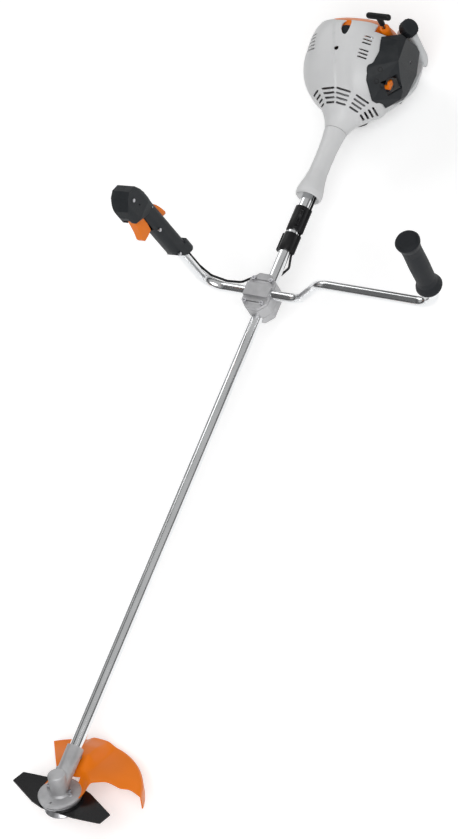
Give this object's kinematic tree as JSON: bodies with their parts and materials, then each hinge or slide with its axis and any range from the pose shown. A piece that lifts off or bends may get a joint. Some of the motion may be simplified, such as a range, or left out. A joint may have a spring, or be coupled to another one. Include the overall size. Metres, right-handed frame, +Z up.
{
  "type": "brush mower",
  "caption": "Petrol brush mower with a straight shaft, handlebar, harness eye, bevel gear head, two-wing blade, deflector and rear engine with recoil starter.",
  "frame": {"origin": "centre of the underside of the foot under the engine, on the ground", "axes": "+X runs along the shaft from the cutting head to the engine, +Y is the operator's right, +Z is up"},
  "size_m": [1.8187, 0.6462, 0.5108],
  "materials": {
    "cast_alloy": "satin",
    "steel": "satin",
    "blade_paint": "semi-gloss",
    "orange_plastic": "gloss",
    "drawn_aluminium": "bright drawn",
    "machined_alloy": "satin",
    "charcoal_plastic": "fine grained",
    "grip_rubber": "matte",
    "black_plastic": "matte",
    "cable_sheath": "satin",
    "rope": "braided",
    "pale_plastic": "gloss",
    "plug_body": "glazed"
  },
  "bodies": {
    "frame": {"gearhead_housing": "cast_alloy", "gearhead_bearings": "steel", "deflector": "orange_plastic", "head_screws": "steel", "drive_tube": "drawn_aluminium", "shaft_bushes": "black_plastic", "handlebar": "drawn_aluminium", "clamp_base": "cast_alloy", "clamp_middle": "cast_alloy", "clamp_cap": "cast_alloy", "clamp_screws": "steel", "left_grip": "grip_rubber", "handle_left_half": "charcoal_plastic", "handle_right_half": "charcoal_plastic", "handle_screws": "steel", "throttle_cable": "cable_sheath", "cable_clip": "black_plastic", "harness_ring": "black_plastic", "neck_sleeve": "pale_plastic", "clutch_housing": "cast_alloy", "shroud": "pale_plastic", "crankcase": "cast_alloy", "engine_bearings": "steel", "cylinder": "machined_alloy", "spark_plug": "plug_body", "plug_boot": "grip_rubber", "ignition_module": "black_plastic", "starter_housing": "orange_plastic", "starter_rope": "rope", "muffler": "steel", "carburettor": "machined_alloy", "air_filter": "black_plastic", "filter_cover": "charcoal_plastic", "fuel_tank": "pale_plastic", "engine_foot": "grip_rubber"},
    "cutter": {"output_gear": "steel", "spindle": "steel", "thrust_plate": "steel", "blade": "blade_paint", "thrust_washer": "steel", "rider_plate": "steel", "blade_nut": "steel"},
    "driveline": {"input_pinion": "steel", "drive_shaft": "steel", "clutch_drum": "steel"},
    "crank": {"crankshaft": "steel", "flywheel": "machined_alloy"},
    "upper_shoe": {"clutch_shoe_upper": "steel"},
    "lower_shoe": {"clutch_shoe_lower": "steel"},
    "piston_group": {"piston": "machined_alloy", "rod_pins": "steel", "con_rod": "steel"},
    "recoil_pulley": {"starter_pulley": "black_plastic"},
    "pull_grip": {"starter_grip": "black_plastic"},
    "trigger": {"throttle_trigger": "orange_plastic"},
    "lockout": {"lockout_lever": "orange_plastic"},
    "stop_switch": {"stop_slider": "black_plastic"},
    "choke": {"choke_lever": "orange_plastic"},
    "primer": {"primer_bulb": "grip_rubber"},
    "filler_cap": {"fuel_cap": "charcoal_plastic"}
  },
  "joints": [
    {"name": "cutter_spin", "type": "hinge", "parent": "frame", "child": "cutter", "pos_m": [-1.64, 0, 0.118], "axis": [0.4955, 0, 0.8686], "continuous": true},
    {"name": "driveline_spin", "type": "hinge", "parent": "frame", "child": "driveline", "pos_m": [0, 0, 0.118], "axis": [1, 0, 0], "continuous": true},
    {"name": "crank_spin", "type": "hinge", "parent": "frame", "child": "crank", "pos_m": [0, 0, 0.118], "axis": [1, 0, 0], "continuous": true},
    {"name": "upper_shoe_slide", "type": "slide", "parent": "crank", "child": "upper_shoe", "axis": [0, 0, 1], "range_m": [0, 0.0011], "stiffness_N_per_m": 12000, "springref_m": -0.002},
    {"name": "lower_shoe_slide", "type": "slide", "parent": "crank", "child": "lower_shoe", "axis": [0, 0, -1], "range_m": [0, 0.0011], "stiffness_N_per_m": 12000, "springref_m": -0.002},
    {"name": "piston_slide", "type": "slide", "parent": "frame", "child": "piston_group", "axis": [0, 0, -1], "range_m": [0, 0.024]},
    {"name": "starter_pull", "type": "slide", "parent": "frame", "child": "pull_grip", "axis": [0, 0, 1], "range_m": [0, 0.6], "stiffness_N_per_m": 15, "springref_m": -0.1, "deforming": ["starter_rope"]},
    {"name": "pulley_spin", "type": "hinge", "parent": "frame", "child": "recoil_pulley", "pos_m": [0.076, 0, 0.118], "axis": [1, 0, 0], "range_deg": [-1150, 0]},
    {"name": "trigger_pull", "type": "hinge", "parent": "frame", "child": "trigger", "pos_m": [-0.566, 0.16155, 0.46555], "axis": [0, -0.9923, 0.1236], "range_deg": [0, 18], "stiffness_Nm_per_rad": 1.2, "springref_deg": -5.73},
    {"name": "lockout_press", "type": "hinge", "parent": "frame", "child": "lockout", "pos_m": [-0.543, 0.15611, 0.42188], "axis": [0, 0.9923, -0.1236], "range_deg": [0, 8], "stiffness_Nm_per_rad": 1.5, "springref_deg": -5.73},
    {"name": "stop_slide", "type": "slide", "parent": "frame", "child": "stop_switch", "axis": [-0.192, 0.1213, 0.9739], "range_m": [0, 0.006]},
    {"name": "choke_turn", "type": "hinge", "parent": "frame", "child": "choke", "pos_m": [-0.034, -0.094, 0.162], "axis": [0, 1, 0], "range_deg": [0, 60]},
    {"name": "primer_press", "type": "slide", "parent": "frame", "child": "primer", "axis": [0, 1, 0], "range_m": [0, 0.0025], "stiffness_N_per_m": 600, "springref_m": -0.0005},
    {"name": "cap_turn", "type": "hinge", "parent": "frame", "child": "filler_cap", "pos_m": [0.102, -0.085, 0.164], "axis": [0.1005, -0.7233, 0.6831], "range_deg": [0, 120]}
  ],
  "couplings": [
    {"joint": "driveline_spin", "follows": "cutter_spin", "ratio": -1.4167},
    {"joint": "lower_shoe_slide", "follows": "upper_shoe_slide", "ratio": 1},
    {"joint": "pulley_spin", "follows": "starter_pull", "rad_per_m": -33.333}
  ]
}
